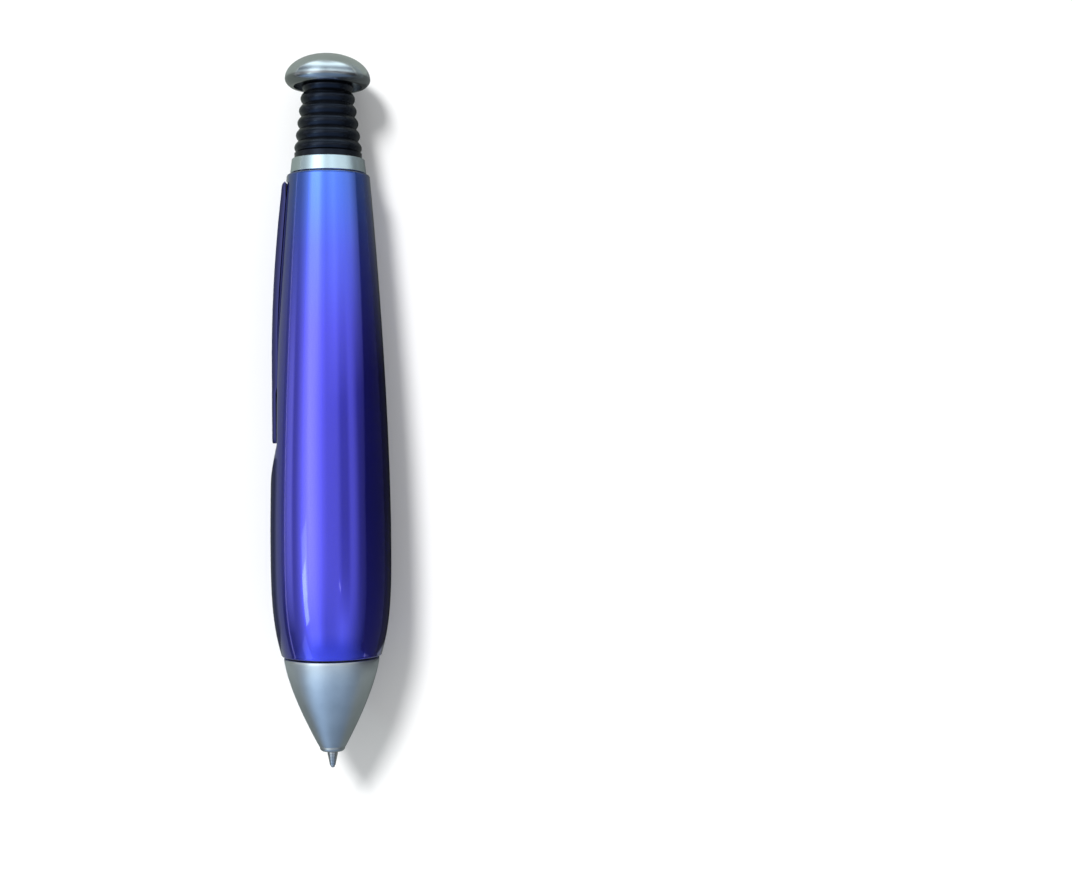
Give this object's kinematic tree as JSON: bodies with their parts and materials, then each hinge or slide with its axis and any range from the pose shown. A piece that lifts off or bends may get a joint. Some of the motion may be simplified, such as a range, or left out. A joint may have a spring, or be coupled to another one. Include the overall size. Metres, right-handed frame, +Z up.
{
  "type": "ballpoint pen",
  "caption": "Fat click ballpoint pen: swelling lacquered barrel with a sprung clip, screw-on satin nose, ribbed rubber bellows and a mushroom push button.",
  "frame": {"origin": "middle of the bounding box's bottom, below the pen's axis at half its length", "axes": "+Y along the pen from its point to its button, -X towards the clip, +Z up; the pen's axis is level at the belly's radius above the origin"},
  "size_m": [0.027, 0.1598, 0.0269],
  "materials": {
    "violet_lacquer": "violet-blue metallic lacquer, clear coated",
    "satin_silver": "satin silver",
    "bright_silver": "bright silver plating",
    "black_rubber": "matt black",
    "steel": "drawn",
    "brass": "drawn",
    "white_plastic": "moulded",
    "grey_plastic": "moulded",
    "blue_ink": "wet"
  },
  "bodies": {
    "barrel": {"barrel": "violet_lacquer", "front_insert": "grey_plastic", "cam_housing": "white_plastic", "rod_guide_bush": "grey_plastic", "refill_guide_bush": "grey_plastic", "collar_ring": "bright_silver", "bellows": "black_rubber"},
    "button": {"button_cap": "bright_silver", "button_core": "white_plastic", "push_rod": "steel", "plunger_cam": "white_plastic"},
    "refill": {"refill_tube": "brass", "ink_column": "blue_ink", "refill_plug": "white_plastic", "refill_holder": "brass", "refill_point": "steel", "refill_ball": "steel", "return_spring": "steel"},
    "rotor": {"rotor_cam": "white_plastic"},
    "nose_carrier": {"spring_seat": "steel"},
    "nose": {"nose_cone": "satin_silver", "nose_thread_bush": "grey_plastic"},
    "clip": {"clip": "violet_lacquer"}
  },
  "joints": [
    {"name": "button_slide", "type": "slide", "parent": "barrel", "child": "button", "axis": [0, 1, 0], "range_m": [-0.0012, 0.005], "stiffness_N_per_m": 300, "deforming": ["bellows", "return_spring"]},
    {"name": "refill_slide", "type": "slide", "parent": "barrel", "child": "refill", "axis": [0, 1, 0], "range_m": [-0.0012, 0.005], "deforming": ["return_spring"]},
    {"name": "rotor_turn", "type": "hinge", "parent": "refill", "child": "rotor", "pos_m": [0, 0.02136, 0.01345], "axis": [0, 1, 0], "range_deg": [-4.36, 18.14]},
    {"name": "nose_advance", "type": "slide", "parent": "barrel", "child": "nose_carrier", "axis": [0, -1, 0], "range_m": [0, 0.006], "deforming": ["return_spring"]},
    {"name": "nose_turn", "type": "hinge", "parent": "nose_carrier", "child": "nose", "pos_m": [0, -0.05504, 0.01345], "axis": [0, -1, 0], "range_deg": [0, 1440], "deforming": ["return_spring"]},
    {"name": "clip_flex", "type": "hinge", "parent": "barrel", "child": "clip", "pos_m": [-0.00882, 0.04846, 0.01345], "axis": [0, 0, -1], "range_deg": [0, 4], "stiffness_Nm_per_rad": 1.6}
  ],
  "couplings": [
    {"joint": "refill_slide", "follows": "button_slide", "ratio": 1},
    {"joint": "rotor_turn", "follows": "button_slide", "rad_per_m": 63.3},
    {"joint": "nose_turn", "follows": "nose_advance", "rad_per_m": 4188.8}
  ]
}
